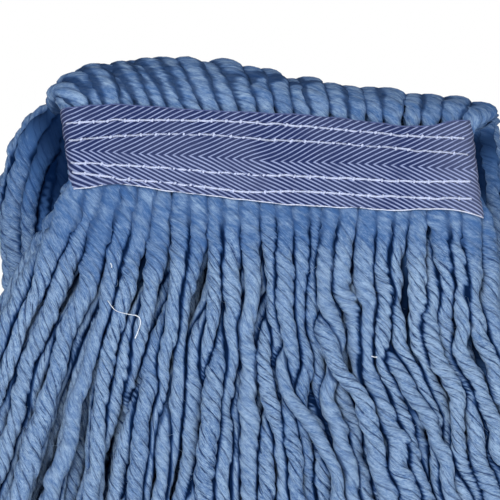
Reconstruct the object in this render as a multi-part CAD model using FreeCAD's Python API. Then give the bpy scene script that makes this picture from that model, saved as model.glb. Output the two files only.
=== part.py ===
"""String mop head: looped yarn sewn into a narrow headband, folded in half so that it hangs in two skirts.

Frame, in millimetres: +Z up, +X along the headband, -Y towards the front.
The origin is the centre of the headband's front face, where the outer jaw of a mop handle bears.

How it is made: three layers of yarn lie side by side, and a twill tape is sewn across their middle with
four rows of lockstitch. The half of the yarn below the band is the front skirt. The half above it turns
over backwards in a soft crest and hangs behind as the back skirt. Each skirt is held in a fan shape by a
narrow tail band, and under that the yarn ends in free loops, in six locks.
A strand is one piece of yarn. It is split here where it bends: at the band's lower edge, at the back foot
of the crest, and under each tail band.
"""

import math
import os

import FreeCAD
import Part

# Driving dimensions.
BAND_WIDTH = 152.4  # standard 6 inch headband
BAND_HEIGHT = 32.0  # narrow 1 1/4 inch headband
BAND_SKEW = 10.0  # degrees that the tape's ends and the yarn in it lean, because it is sewn askew
TAPE = 1.2  # thickness of the headband tape
COLUMNS = 24  # strands side by side in one layer
LAYERS = 3
YARN = 6.0  # diameter of a strand outside the band
PRESSED_YARN = 5.5  # diameter of a strand pressed by the stitching
COLUMN_PITCH = 6.25
LAYER_PITCH = 6.1
SLACK = 0.1  # gap between a tape and the yarn under it
HINGE_GAP = 0.5  # gap where a strand is split for a hinge
FOLD_INSIDE = 3.3  # inside radius of the crest, which leaves the pocket for the inner jaw

TAIL_PITCH = 11.5  # column pitch at the tail bands
TAIL_HEIGHT = 16.0
TAIL_TAPE = 0.9
TAIL_TOP = -242.0
LOCKS = 6
LOOP_FOOT = (-405.0, -399.0, -402.0)  # height of the loop's centre, for each layer

THREAD = 0.5  # sewing thread
GROOVE = 0.65  # depth that the stitches are pulled into the tape
STITCH_ROWS = (11.2, 5.1, -5.1, -11.2)  # heights of the rows on the headband
TAIL_ROWS = (4.0, -4.0)  # heights of the rows from the middle of a tail band

# Worked out from the above.
HALF_BAND = BAND_HEIGHT / 2
LEAN = math.tan(math.radians(BAND_SKEW))
BUNDLE_BACK = TAPE + SLACK + YARN + (LAYERS - 1) * LAYER_PITCH
FOLD_Y = BUNDLE_BACK + FOLD_INSIDE
FOLD_Z = HALF_BAND
TAIL_FOOT = TAIL_TOP - TAIL_HEIGHT
TAIL_MIDDLE = (TAIL_TOP + TAIL_FOOT) / 2
TAIL_WIDTH = COLUMNS * TAIL_PITCH + 2 * TAIL_TAPE
BACK_LEAVES = FOLD_Z - HINGE_GAP
LAYER_NAMES = ("outer", "middle", "inner")


def front_layer(layer):
    """Depth of a layer's centre in the front skirt. Layer 0 is the outer one, under the front tape."""
    return TAPE + SLACK + YARN / 2 + layer * LAYER_PITCH


def back_layer(layer):
    """Depth of the same layer after it has turned over the crest, so layer 0 is the outer one at the back."""
    return 2 * FOLD_Y - front_layer(layer)


def column_x(column, pitch=COLUMN_PITCH):
    return (column - (COLUMNS - 1) / 2) * pitch


def disc(x, y, z, diameter):
    """A horizontal round face, the start of a strand."""
    circle = Part.makeCircle(diameter / 2, FreeCAD.Vector(x, y, z), FreeCAD.Vector(0, 0, 1))
    return Part.Face(Part.Wire(circle))


def filleted_path(points, radius):
    """A wire through points with an arc of the given radius at each inner point."""
    edges = []
    start = points[0]
    for before, corner, after in zip(points, points[1:], points[2:]):
        into = (corner - before).normalize()
        out = (after - corner).normalize()
        turn = into.getAngle(out)
        if turn < 1e-4:
            continue
        reach = radius * math.tan(turn / 2)
        arc_start = corner - into * reach
        arc_end = corner + out * reach
        bisector = (out - into).normalize()
        centre = corner + bisector * (radius / math.cos(turn / 2))
        arc_middle = centre - bisector * radius
        edges.append(Part.LineSegment(start, arc_start).toShape())
        edges.append(Part.Arc(arc_start, arc_middle, arc_end).toShape())
        start = arc_end
    edges.append(Part.LineSegment(start, points[-1]).toShape())
    return Part.Wire(edges)


def skirt_strand(column, y, top_x, top_z, first_bend, last_bend, bend_radius):
    """A strand from the band or crest down to the tail band: straight, out to its place in the fan, straight."""
    foot_x = column_x(column, TAIL_PITCH)
    inwards = 1 - abs(column_x(column)) / column_x(COLUMNS - 1)
    spread_start = top_z - first_bend - 22 * inwards  # later towards the middle, so that strands stay apart
    points = [
        FreeCAD.Vector(top_x, y, top_z),
        FreeCAD.Vector(top_x, y, spread_start),
        FreeCAD.Vector(foot_x, y, top_z - last_bend),
        FreeCAD.Vector(foot_x, y, TAIL_FOOT),
    ]
    path = filleted_path(points, bend_radius)
    profile = Part.Wire(disc(top_x, y, top_z, YARN).Edges)
    return path.makePipeShell([profile], True, False)


def front_strands(layer):
    top_z = -HALF_BAND - HINGE_GAP
    return [
        skirt_strand(c, front_layer(layer), column_x(c) + HALF_BAND * LEAN, top_z, 14, 130, 45)
        for c in range(COLUMNS)
    ]


def back_strands(layer):
    return [
        skirt_strand(c, back_layer(layer), column_x(c) - HALF_BAND * LEAN, BACK_LEAVES, 17, 100, 40)
        for c in range(COLUMNS)
    ]


def crest_strands(layer):
    """Half rings that carry the yarn from the top of the band over to the back."""
    rings = []
    for column in range(COLUMNS):
        x = column_x(column) - HALF_BAND * LEAN
        foot = disc(x, front_layer(layer), FOLD_Z, YARN)
        rings.append(foot.revolve(FreeCAD.Vector(x, FOLD_Y, FOLD_Z), FreeCAD.Vector(-1, 0, 0), 180))
    return rings


def band_strands():
    """The pressed middles of all the strands, inside the headband. They lean with the tape."""
    along = FreeCAD.Vector(-BAND_HEIGHT * LEAN, 0, BAND_HEIGHT)
    return [
        disc(column_x(c) + HALF_BAND * LEAN, front_layer(layer), -HALF_BAND, PRESSED_YARN).extrude(along)
        for layer in range(LAYERS)
        for c in range(COLUMNS)
    ]


def loop(left_column, y, foot_z, top_z):
    """Two neighbouring strands that join in a U-turn: two straight legs and half a ring."""
    left = column_x(left_column, TAIL_PITCH)
    right = column_x(left_column + 1, TAIL_PITCH)
    middle = FreeCAD.Vector((left + right) / 2, y, foot_z)
    down = FreeCAD.Vector(0, 0, foot_z - top_z)
    legs = [disc(x, y, top_z, YARN).extrude(down) for x in (left, right)]
    turn = disc(left, y, foot_z, YARN).revolve(middle, FreeCAD.Vector(0, -1, 0), 180)
    return legs[0].fuse([turn, legs[1]]).removeSplitter().Solids[0]


def lock(number, layer_depth):
    """The free loops of one lock: four columns in each layer."""
    columns = COLUMNS // LOCKS
    first = number * columns
    return [
        loop(c, layer_depth(layer), LOOP_FOOT[layer], TAIL_FOOT - HINGE_GAP)
        for layer in range(LAYERS)
        for c in range(first, first + columns, 2)
    ]


def plan_prism(points, z, along):
    """A solid with a flat outline in plan at height z, swept along a vector."""
    corners = [FreeCAD.Vector(x, y, z) for x, y in points]
    return Part.Face(Part.makePolygon(corners + corners[:1])).extrude(along)


def wrapped_tape(width, height, z, thickness, front, back, lean=0.0):
    """A tape whose ends turn round the sides of the yarn: a face with two short returns."""
    half = width / 2
    inner = half - thickness
    outline = [(-half, front), (half, front), (half, back), (inner, back)]
    outline += [(inner, front + thickness), (-inner, front + thickness), (-inner, back), (-half, back)]
    shift = -(z - height / 2) * lean
    outline = [(x + shift, y) for x, y in outline]
    return plan_prism(outline, z - height / 2, FreeCAD.Vector(-height * lean, 0, height))


def backing_tape(width, height, z, thickness, front, lean=0.0):
    """A flat strip of tape behind the yarn."""
    shift = -(z - height / 2) * lean
    corners = [(-width / 2, front), (width / 2, front)]
    corners += [(width / 2, front + thickness), (-width / 2, front + thickness)]
    corners = [(x + shift, y) for x, y in corners]
    return plan_prism(corners, z - height / 2, FreeCAD.Vector(-height * lean, 0, height))


def stitch_comb(legs, face, inwards, reach, z, width, depth):
    """One thread of a lockstitch row: a run on the face with a leg through the tape at each hole.

    inwards is +1 for a thread on the front face and -1 for one on the back face.
    """
    end = 2.0  # how far the row runs on past its last hole
    bottom = face + inwards * depth
    outline = [(legs[0] - end, face), (legs[-1] + end, face), (legs[-1] + end, bottom)]
    for x in reversed(legs):
        outline += [(x + width / 2, bottom), (x + width / 2, reach)]
        outline += [(x - width / 2, reach), (x - width / 2, bottom)]
    outline.append((legs[0] - end, bottom))
    return plan_prism(outline, z - width / 2, FreeCAD.Vector(0, 0, width))


def stitch_row(legs, front, back, z):
    """The needle thread in front and the bobbin thread behind, which meet half way through the yarn."""
    middle = (front + back) / 2
    sunk = 0.1
    needle = stitch_comb(legs, front + sunk, 1, middle - 0.1, z, THREAD, THREAD)
    bobbin = stitch_comb(legs, back - sunk, -1, middle + 0.1, z, THREAD, THREAD)
    return [needle, bobbin]


def stitch_cutters(legs, front, back, z):
    """The grooves and holes that a row needs in the two tapes."""
    middle = (front + back) / 2
    proud = 0.5
    hole = THREAD + 0.2
    return [
        stitch_comb(legs, front - proud, 1, middle, z, hole, GROOVE + proud),
        stitch_comb(legs, back + proud, -1, middle, z, hole, GROOVE + proud),
    ]


def headband_legs(z):
    """The holes of a headband row, one between each two columns."""
    return [column_x(c + 0.5) - z * LEAN for c in range(COLUMNS - 1)]


def tail_legs():
    return [column_x(c + 0.5, TAIL_PITCH) for c in range(COLUMNS - 1)]


def make_headband(nodes):
    back_face = BUNDLE_BACK + SLACK + TAPE
    front_tape = wrapped_tape(BAND_WIDTH, BAND_HEIGHT, 0, TAPE, 0, BUNDLE_BACK, LEAN)
    back_tape = backing_tape(BAND_WIDTH, BAND_HEIGHT, 0, TAPE, BUNDLE_BACK + SLACK, LEAN)
    cutters = []
    for number, z in enumerate(STITCH_ROWS, start=1):
        cutters += stitch_cutters(headband_legs(z), 0, back_face, z)
        nodes[f"stitch_row_{number}"] = stitch_row(headband_legs(z), 0, back_face, z)
    nodes["headband_front_tape"] = [front_tape.cut(cutters)]
    nodes["headband_back_tape"] = [back_tape.cut(cutters)]
    nodes["headband_yarn"] = band_strands()
    for layer, name in enumerate(LAYER_NAMES):
        nodes[f"crest_yarn_{name}"] = crest_strands(layer)


def make_tail_band(nodes, side, outer_face, inner_face):
    """The outer tape with its returns, the inner strip and the two stitch rows of one skirt."""
    front, back = outer_face, inner_face
    outer = wrapped_tape(TAIL_WIDTH, TAIL_HEIGHT, TAIL_MIDDLE, TAIL_TAPE, front, back - TAIL_TAPE - SLACK)
    inner = backing_tape(TAIL_WIDTH, TAIL_HEIGHT, TAIL_MIDDLE, TAIL_TAPE, back - TAIL_TAPE)
    cutters = []
    threads = []
    for z in TAIL_ROWS:
        cutters += stitch_cutters(tail_legs(), front, back, TAIL_MIDDLE + z)
        threads += stitch_row(tail_legs(), front, back, TAIL_MIDDLE + z)
    shapes = {
        f"{side}_tail_tape_outer": [outer.cut(cutters)],
        f"{side}_tail_tape_inner": [inner.cut(cutters)],
        f"{side}_tail_stitches": threads,
    }
    if side == "back":
        fold = FreeCAD.Vector(0, FOLD_Y, 0)
        across = FreeCAD.Vector(0, 1, 0)
        shapes = {name: [s.mirror(fold, across) for s in solids] for name, solids in shapes.items()}
    nodes.update(shapes)


def make_skirts(nodes):
    for layer, name in enumerate(LAYER_NAMES):
        nodes[f"front_yarn_{name}"] = front_strands(layer)
        nodes[f"back_yarn_{name}"] = back_strands(layer)
    outer_face = front_layer(0) - YARN / 2 - SLACK - TAIL_TAPE
    inner_face = BUNDLE_BACK + SLACK + TAIL_TAPE
    for side in ("front", "back"):
        make_tail_band(nodes, side, outer_face, inner_face)
    for number in range(LOCKS):
        nodes[f"front_loops_{number + 1}"] = lock(number, front_layer)
        nodes[f"back_loops_{number + 1}"] = lock(number, back_layer)


def make_loose_thread(nodes):
    """A cut end of sewing thread that lies across the front yarn, as it does on a new mop head."""
    y = front_layer(0) - YARN / 2 - THREAD
    points = [(-60.4, -52.0), (-57.0, -56.2), (-51.5, -58.0), (-48.4, -60.4), (-49.5, -66.5)]
    curve = Part.BSplineCurve()
    curve.interpolate([FreeCAD.Vector(x, y, z) for x, z in points])
    path = Part.Wire(curve.toShape())
    start = curve.value(curve.FirstParameter)
    heading = curve.tangent(curve.FirstParameter)[0]
    profile = Part.Wire(Part.makeCircle(THREAD / 2, start, heading))
    nodes["loose_thread_end"] = [path.makePipeShell([profile], True, False)]


def main():
    nodes = {}
    make_headband(nodes)
    make_skirts(nodes)
    make_loose_thread(nodes)
    os.makedirs("parts", exist_ok=True)
    for name, solids in nodes.items():
        Part.makeCompound(solids).exportStep(f"parts/{name}.step")
        print(name, len(solids), all(s.isValid() for s in solids))


main()
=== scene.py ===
"""The look of a string mop head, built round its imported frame. Lengths are in millimetres until a mesh is made.

Every strand is a twisted four-ply cord. Strands are laid by a short relaxation: each has a course to follow, and
neighbours push each other apart, so that they crowd, cross and leave gaps as loose yarn does.
"""

import math

import bpy
import numpy as np
from mathutils import Matrix, Vector


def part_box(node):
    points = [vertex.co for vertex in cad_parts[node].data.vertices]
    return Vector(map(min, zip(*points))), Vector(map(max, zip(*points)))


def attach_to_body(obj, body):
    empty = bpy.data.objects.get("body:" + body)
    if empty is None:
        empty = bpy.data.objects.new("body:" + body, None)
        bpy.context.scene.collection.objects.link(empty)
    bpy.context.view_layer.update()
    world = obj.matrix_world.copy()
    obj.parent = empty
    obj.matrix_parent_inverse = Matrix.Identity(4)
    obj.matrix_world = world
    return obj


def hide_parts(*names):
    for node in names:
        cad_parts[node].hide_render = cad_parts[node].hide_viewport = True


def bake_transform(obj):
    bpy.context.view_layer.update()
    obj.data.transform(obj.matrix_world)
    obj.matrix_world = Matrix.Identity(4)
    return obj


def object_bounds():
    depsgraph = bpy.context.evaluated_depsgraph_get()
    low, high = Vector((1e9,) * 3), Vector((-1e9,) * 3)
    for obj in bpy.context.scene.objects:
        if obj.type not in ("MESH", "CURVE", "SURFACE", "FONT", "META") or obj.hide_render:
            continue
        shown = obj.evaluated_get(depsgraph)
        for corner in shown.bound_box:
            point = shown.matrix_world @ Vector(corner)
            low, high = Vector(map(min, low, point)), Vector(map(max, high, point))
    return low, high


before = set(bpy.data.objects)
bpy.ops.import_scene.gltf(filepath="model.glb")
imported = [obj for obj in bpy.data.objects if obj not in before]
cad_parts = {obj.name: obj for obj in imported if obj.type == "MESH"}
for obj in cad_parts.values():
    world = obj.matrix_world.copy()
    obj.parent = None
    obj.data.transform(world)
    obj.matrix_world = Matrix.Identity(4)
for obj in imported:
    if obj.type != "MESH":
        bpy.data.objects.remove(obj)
CAD_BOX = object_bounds()
RANDOM = np.random.default_rng(20)
MM = 0.001


def box_mm(node):
    low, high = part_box(node)
    return np.array(low) / MM, np.array(high) / MM


# The headband and the yarn.
COLUMNS = 24
LAYERS = 3
LAYER_NAMES = ("outer", "middle", "inner")
PITCH = 6.25
TAIL_PITCH = 11.5
BAND_LENGTH = 152.4
LEAN = math.tan(math.radians(10))  # the band and the yarn in it lean, sewn askew
YARN = 6.0  # diameter of relaxed yarn
PLIES = 4
LOCKS = 6
LOCK_COLUMNS = COLUMNS // LOCKS
TWIST_PITCH = 20.0
CROWD_REACH = 1.3  # painted contact shade darkens two cords within this distance of each other
SLICE = 3.0  # distance between the slices in which strands are laid
TONE_SPREAD = 0.035  # how much one strand is lighter or darker than another

_, BAND_HIGH = box_mm("headband_front_tape")
_, BACK_TAPE_HIGH = box_mm("headband_back_tape")
CREST_LOW, CREST_HIGH = box_mm("crest_yarn_outer")
TAIL_LOW, TAIL_HIGH = box_mm("front_tail_tape_outer")
HALF_BAND = BAND_HIGH[2]
FOLD_Y = (CREST_LOW[1] + CREST_HIGH[1]) / 2
FOLD_RADIUS = (CREST_HIGH[1] - CREST_LOW[1] - YARN) / 2
TAIL_MIDDLE = (TAIL_LOW[2] + TAIL_HIGH[2]) / 2
LAYER_STEP = 6.1
FRONT_OUTER = FOLD_Y - FOLD_RADIUS  # depth of the outer layer's centre


def ease(t):
    """0 to 1, smoothly."""
    t = np.clip(t, 0, 1)
    return t * t * (3 - 2 * t)


def through(x, points):
    """A smooth curve through a few (x, value) points."""
    xs, values = np.array(points, float).T
    slopes = np.gradient(values, xs)
    i = np.clip(np.searchsorted(xs, x) - 1, 0, len(xs) - 2)
    width = xs[i + 1] - xs[i]
    t = np.clip((x - xs[i]) / width, 0, 1)
    start = values[i] * (1 + 2 * t) * (1 - t) ** 2 + slopes[i] * width * t * (1 - t) ** 2
    end = values[i + 1] * t * t * (3 - 2 * t) - slopes[i + 1] * width * t * t * (1 - t)
    return start + end


def smooth_noise(shape, spans):
    """Random numbers smoothed over a span of samples along each axis, with a spread of one."""
    reach = [int(3 * span) + 1 if span else 0 for span in spans]
    field = RANDOM.standard_normal([n + 2 * r for n, r in zip(shape, reach)])
    for axis, (span, r) in enumerate(zip(spans, reach)):
        if span:
            kernel = np.exp(-0.5 * (np.arange(-r, r + 1) / span) ** 2)
            field = np.apply_along_axis(np.convolve, axis, field, kernel, "valid")
    return field / field.std()


# ---- laying the strands


def settle(x_goal, depth_goal, diameter, spacing, rounds=90, floor=None):
    """Positions across the skirt and in depth, as arrays of (slice, strand), with the strands pushed apart.

    The first and last slices stay put, because the yarn is sewn there.
    """
    x = x_goal.copy()
    depth = depth_goal.copy()
    touch = (diameter[:, :, None] + diameter[:, None, :]) / 2
    count = x.shape[1]
    touch[:, np.arange(count), np.arange(count)] = 0
    for turn in range(rounds):
        firmness = 0.10 * (1 - turn / rounds)
        x += firmness * (x_goal - x)
        depth += firmness * (depth_goal - depth)
        slope = np.gradient(x, spacing, axis=0)
        squeeze = 1 / np.sqrt(1 + slope**2)
        flat = (squeeze[:, :, None] + squeeze[:, None, :]) / 2
        across = (x[:, :, None] - x[:, None, :]) * flat
        inward = depth[:, :, None] - depth[:, None, :]
        apart = np.sqrt(across**2 + inward**2) + 1e-6
        push = 0.25 * np.clip(touch - apart, 0, None) / apart
        x += (push * across).sum(2)
        depth += (push * inward).sum(2)
        if floor is not None:
            depth = np.maximum(depth, floor)
        for values in (x, depth):
            values[1:-1] += 0.3 * (values[:-2] + values[2:] - 2 * values[1:-1])
        x[0], depth[0] = x_goal[0], depth_goal[0]
        x[-1], depth[-1] = x_goal[-1], depth_goal[-1]
    return x, depth


def strand_noise(count, span):
    """Random numbers for every slice and strand, smoothed along each strand."""
    return smooth_noise((count, STRANDS), (span, 0))


def refine(values):
    """Put points between the samples along the first axis, and round off the corners."""
    middle = (values[:-1] + values[1:]) / 2
    finer = np.empty((len(values) + len(middle),) + values.shape[1:])
    finer[0::2] = values
    finer[1::2] = middle
    finer[1:-1] += 0.25 * (finer[:-2] + finer[2:] - 2 * finer[1:-1])
    return finer


COLUMN = np.tile(np.arange(COLUMNS), LAYERS)
LAYER = np.repeat(np.arange(LAYERS), COLUMNS)
SIDE = (COLUMN - (COLUMNS - 1) / 2) / ((COLUMNS - 1) / 2)  # -1 at the left edge of the band, 1 at the right
BAND_X = (COLUMN - (COLUMNS - 1) / 2) * PITCH
LOCK = COLUMN // LOCK_COLUMNS
LOCK_X = (LOCK + 0.5 - LOCKS / 2) * LOCK_COLUMNS * TAIL_PITCH
TAIL_X = LOCK_X + (
    (COLUMN % LOCK_COLUMNS - (LOCK_COLUMNS - 1) / 2) * TAIL_PITCH * np.array([1.0, 0.93, 0.93])[LAYER]
    + np.array([0.0, 3.3, -3.3])[LAYER]
)
STRANDS = COLUMNS * LAYERS
THICKNESS = 1 + 0.09 * np.clip(RANDOM.standard_normal(STRANDS), -2, 2)

FILLED = 107.0  # distance under the band where the layers together are evenly spread
# How far the outer strands of the front skirt have swept sideways there, by side.
OUTER_SWEEP = [(-1, -35), (-0.81, -27), (-0.65, -17), (-0.5, -10), (-0.35, -4.5), (-0.14, 4), (0.07, 10), (0.27, 17),
               (0.48, 24), (1, 28)]
LANE = 6.3  # width that one strand fills

# Places where two neighbouring front strands part: x, z, how far they open and the opening's length.
PARTINGS = [(53, -50, 2.4, 17), (67, -53, 2.0, 8), (-47, -39, 1.7, 11), (-47, -86, 1.5, 6), (-22, -112, 1.3, 12),
            (30, -87, 2.1, 18), (57, -104, 1.9, 14), (80, -66, 1.4, 10), (5, -70, 1.1, 8), (44, -120, 1.6, 12)]
# Strands that cross over their neighbours: column, layer, where it starts and ends, how far it goes sideways.
CROSSINGS = [(17, 1, -56, -96, 10.0), (19, 2, -66, -112, 9.0), (15, 1, -76, -122, 13.0), (21, 1, -48, -84, 5.0)]


def fill_in(outer, count):
    """Places for more strands that fill in where the strands at these places stand far apart."""
    fine = np.linspace(outer[0], outer[-1], 800)
    gap = np.interp(fine, (outer[1:] + outer[:-1]) / 2, np.diff(outer))
    wanted = (len(outer) + count) / (outer[-1] - outer[0])
    spare = np.clip(wanted - 1 / gap, 0.12 * wanted, None)
    share = np.cumsum(spare) / spare.sum()
    return np.interp((np.arange(count) + 0.5) / count, share, fine)


def front_course():
    """Strands of the front skirt as arrays (slice, strand): x, y, z, diameter and a painted shadow on the strands that
    lie deep in a parting.
    """
    top = -HALF_BAND + 8
    count = int(round((top - TAIL_MIDDLE) / SLICE)) + 1
    z = np.linspace(top, TAIL_MIDDLE, count)
    below = np.clip(-HALF_BAND - z, 0, None)[:, None]
    reach = -HALF_BAND - TAIL_MIDDLE

    start = BAND_X[None] - np.maximum(z, -HALF_BAND)[:, None] * LEAN
    at_once = (1 - np.exp(-np.clip(below - 1, 0, None) / 150)) / (1 - math.exp(-FILLED / 150))
    later = (np.hypot(below - 42, 10) + below - 42) / 2 / (FILLED - 42)
    sweep = through(SIDE, OUTER_SWEEP)
    course = start + sweep * np.where(sweep < 0, at_once, later)
    outer = course[:, LAYER == 0].copy()
    row = np.argmin(np.abs(below[:, 0] - FILLED))
    even = np.linspace(outer[row, 0] + 3, outer[row, -1] - 3, COLUMNS - 2)
    for layer, goal in ((1, fill_in(outer[row], COLUMNS - 2)), (2, even)):
        place = np.interp(goal, outer[row], np.arange(COLUMNS))
        left = np.clip(place.astype(int), 0, COLUMNS - 2)
        flow = outer[:, left] + (outer[:, left + 1] - outer[:, left]) * (place - left)
        aside = layer * 0.86 * LANE
        flow = np.concatenate([outer[:, :1] - aside, flow, outer[:, -1:] + aside], 1)
        own = start[:, LAYER == layer]
        quick = np.where((SIDE == -1) | (SIDE == 1), 28.0, 58.0)[LAYER == layer]
        course[:, LAYER == layer] = own + (flow - own) * ease((below + 4) / quick)
    gather = ease((below - 105) / (reach - 125))
    course = course * (1 - gather) + TAIL_X * gather

    free = ease(below / 28) * ease((reach - below + 20) / 60)
    bundle = smooth_noise((count, COLUMNS, 1), (12, 1.4, 0))
    bundle = np.tile(bundle[:, :, 0], LAYERS)
    own = strand_noise(count, 5)
    calm = (1 - 0.6 * ease((np.abs(SIDE) - 0.8) / 0.2)) * (1 - 0.4 * ease((0.1 - SIDE) / 0.5))
    course = course + free * (2.4 * bundle + 2.0 * own) * calm

    fused = ease((below + 1) / 4) * (1 - ease((below - 12) / 24))
    course = course + 0.5 * PITCH * fused * (LAYER == 1)
    home = FRONT_OUTER + LAYER * LAYER_STEP - 3.7 * fused * (LAYER == 1)
    loose = np.array([1.5, 2.7, 8.8])[LAYER]
    late = np.array([-6.0, 14.0, 20.0])[LAYER]
    slack = ease((below - late) / 45) * ease((reach - below) / 60)
    depth = home + (loose - home) * slack
    depth = depth + free * (1.5 * strand_noise(count, 6))
    for column, layer, z_start, z_end, aside in CROSSINGS:
        mine = (COLUMN == column) & (LAYER == layer)
        share = ease((z_start - z) / (z_start - z_end))[:, None]
        ahead = ease((z_start + 10 - z) / 20) * ease((z - z_end + 45) / 40)
        course[:, mine] += aside * share * (1 - gather)
        depth[:, mine] += (-3.2 - depth[:, mine]) * ahead[:, None]
    swell = 5.7 + 1.9 * ease((below + 3) / 8) - (0.9 + 0.5 * ease(-SIDE / 0.4)) * ease((below - 10) / 36)
    diameter = swell * THICKNESS * (1 + 0.07 * strand_noise(count, 3))
    crush = 0.70 + 0.15 * ease((below - 8) / 50)
    x, depth = settle(course, depth, crush * diameter, SLICE, floor=-4.0)
    # Painted shadow on strands that lie deep in a parting, behind the strands that open.
    dark = np.zeros_like(x)
    outer = x[:, LAYER == 0]
    for x0, z0, opening, length in PARTINGS:
        valleys = (outer[:, 1:] + outer[:, :-1]) / 2
        nearest = np.argmin(np.abs(valleys[np.argmin(np.abs(z - z0))] - x0))
        away = x - valleys[:, nearest, None]
        here = np.exp(-(((z[:, None] - z0) / length) ** 2))
        x = x + opening * here * np.exp(-np.abs(away) / 8) * np.tanh(away / 1.2) * (depth < 7)
        behind = here * ease((7 - np.abs(away)) / 3)
        dark = np.maximum(dark, behind * ease((depth - 4.5) / 3))
        depth = depth + np.where(depth > 4.5, 3.0 * behind, 0)
    wobble = free * ease((below - 6) / 30)
    wavy = wobble * ease(SIDE / 0.4)
    sway = 1.2 * np.sin(2 * math.pi * below / 44 + 0.5 * COLUMN) + 0.6 * np.sin(2 * math.pi * below / 17 + 1.9 * COLUMN)
    x = x + 0.6 * wobble * strand_noise(count, 1.6) + wavy * sway
    depth = depth + 0.5 * wobble * strand_noise(count, 2)
    return x, depth, np.repeat(z[:, None], STRANDS, 1), diameter, dark


# Height of the crest over the middle of the band.
CREST_TOP = [(-92, 14), (-86, 18), (-80, 23), (-75, 28), (-66, 32), (-50, 36), (-36, 37.2), (-10, 36.7), (8, 33),
             (20, 31.1), (41, 30.4), (55, 28.7), (76, 26.6), (90, 24)]


def back_course():
    """Strands from the top of the band over the crest and down the back: x, y, z, diameter, flatness and how far
    they swing with the back skirt.
    """
    rise = 4
    arc = 18
    drop = int(round((HALF_BAND - TAIL_MIDDLE) / SLICE))
    count = rise + arc + drop + 1
    index = np.arange(count)
    turn = np.clip((index - rise) / arc, 0, 1)[:, None] * math.pi
    below = np.clip(index - rise - arc, 0, None)[:, None] * (HALF_BAND - TAIL_MIDDLE) / drop
    climb = np.clip(rise - index, 0, None)[:, None] * 2.0
    reach = HALF_BAND - TAIL_MIDDLE

    start = BAND_X[None] - (HALF_BAND - climb) * LEAN
    over = through(SIDE, [(-1, -2), (-0.85, -12), (-0.7, -18), (-0.5, -22), (-0.2, -17), (0.2, -9), (0.6, -3),
                          (0.85, 4), (1, 11)])
    foot = through(SIDE, [(-1, -6), (-0.8, -15), (-0.5, -22), (0, -15), (0.5, -5), (0.85, 4), (1, 11)])
    lean = np.where(turn < math.pi / 2, over * np.sin(turn), foot + (over - foot) * np.sin(turn))
    bulge = through(SIDE, [(-1, -24), (-0.8, -14), (-0.5, -2), (0, 0), (0.7, 4), (1, 11)])
    out = (1 - np.exp(-below / 14)) * (1 - np.where(SIDE < 0, 0.75, 0.2) * ease((below - 40) / 34))
    spread = ease((below - 40) / (reach - 62))
    inner = (ease((-SIDE - 0.45) / 0.3) - ease((SIDE - 0.75) / 0.2)) * np.array([0.0, 4.6, 10.2])[LAYER]
    between = np.array([0.0, 0.5, 0.25])[LAYER] * PITCH * ease(below / 40) * (1 - ease((-SIDE - 0.6) / 0.2))
    course = (start + lean + between + bulge * out + inner * ease(turn / 2)) * (1 - spread) + TAIL_X * spread

    free = ease(turn / 0.9) * ease((reach - below - 14) / 60)
    bundle = smooth_noise((count, LAYERS, COLUMNS), (14, 0, 1.6)).reshape(count, STRANDS)
    own = strand_noise(count, 5)
    course = course + free * (1.3 * bundle + 1.4 * own) * (1 - 0.7 * ease((np.abs(SIDE) - 0.6) / 0.2))

    home = LAYER * LAYER_STEP * np.ones((count, 1))
    slack = ease(below / 60) * ease((reach - below) / 60)
    loose = np.array([-1.0, 1.2, 8.2])[LAYER]
    depth = home + (loose - home) * slack + free * 1.0 * strand_noise(count, 7)
    swell = np.where(below > 0, YARN + 0.7 + 1.5 * (1 - ease(below / 60)), 6.0 + 2.2 * ease(turn / 0.5))
    swell = swell * (1 + 0.2 * ease((-SIDE - 0.6) / 0.2) * ease(turn / 2))
    diameter = swell * THICKNESS * (1 + 0.07 * strand_noise(count, 4))
    crush = 0.64 + 0.24 * ease((below - 20) / 50)
    x, depth = settle(course, depth, crush * diameter, SLICE, floor=-2.5)

    radius = FOLD_RADIUS - depth
    top = through(x, CREST_TOP) - HALF_BAND - 2.2
    stretch = top / FOLD_RADIUS
    y = FOLD_Y - radius * np.cos(turn)
    z = HALF_BAND - climb + radius * np.sin(turn) * stretch - below
    x = x + 0.35 * free * strand_noise(count, 2.5)
    x = x + 8 * np.exp(-(((z - 20) / 10) ** 2)) * ease((-76 - x) / 14)
    flat = (0.28 + 0.12 * ease(SIDE / 0.6)) * ease(turn / 0.5) * (1 - ease(below / 30))
    swing = ease(below / 26) * np.ones_like(x)
    return x, y, z, diameter, flat, swing


def loop_course(side):
    """Free legs under a tail band, from its middle downwards: x, y, z and diameter."""
    low, _ = box_mm(f"{side}_loops_1")
    bottom = low[2] - 4
    count = int(round((TAIL_MIDDLE - bottom) / SLICE)) + 1
    z = np.linspace(TAIL_MIDDLE, bottom, count)
    below = (TAIL_LOW[2] - z)[:, None]
    free = ease(below / 50)
    pair = np.repeat(smooth_noise((count, LAYERS, COLUMNS // 2), (16, 0, 0.6)), 2, axis=2).reshape(count, STRANDS)
    own = strand_noise(count, 5)
    towards = np.where(COLUMN % 2 == 0, 1.0, -1.0)
    room = LOCK_COLUMNS * TAIL_PITCH / 2 - 3.6
    course = LOCK_X + np.clip(TAIL_X + free * (1.8 * pair + 1.2 * own + 1.2 * towards) - LOCK_X, -room, room)
    depth = LAYER * LAYER_STEP + free * (1.2 * strand_noise(count, 9))
    diameter = YARN * 1.04 * THICKNESS * (1 + 0.05 * strand_noise(count, 4))
    x, depth = settle(course, depth * np.ones_like(course), 0.9 * diameter, SLICE, rounds=50)
    x = x + 0.4 * free * strand_noise(count, 2)
    y = FRONT_OUTER + depth if side == "front" else 2 * FOLD_Y - FRONT_OUTER - depth
    return x, y, np.repeat(z[:, None], STRANDS, 1), diameter


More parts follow.
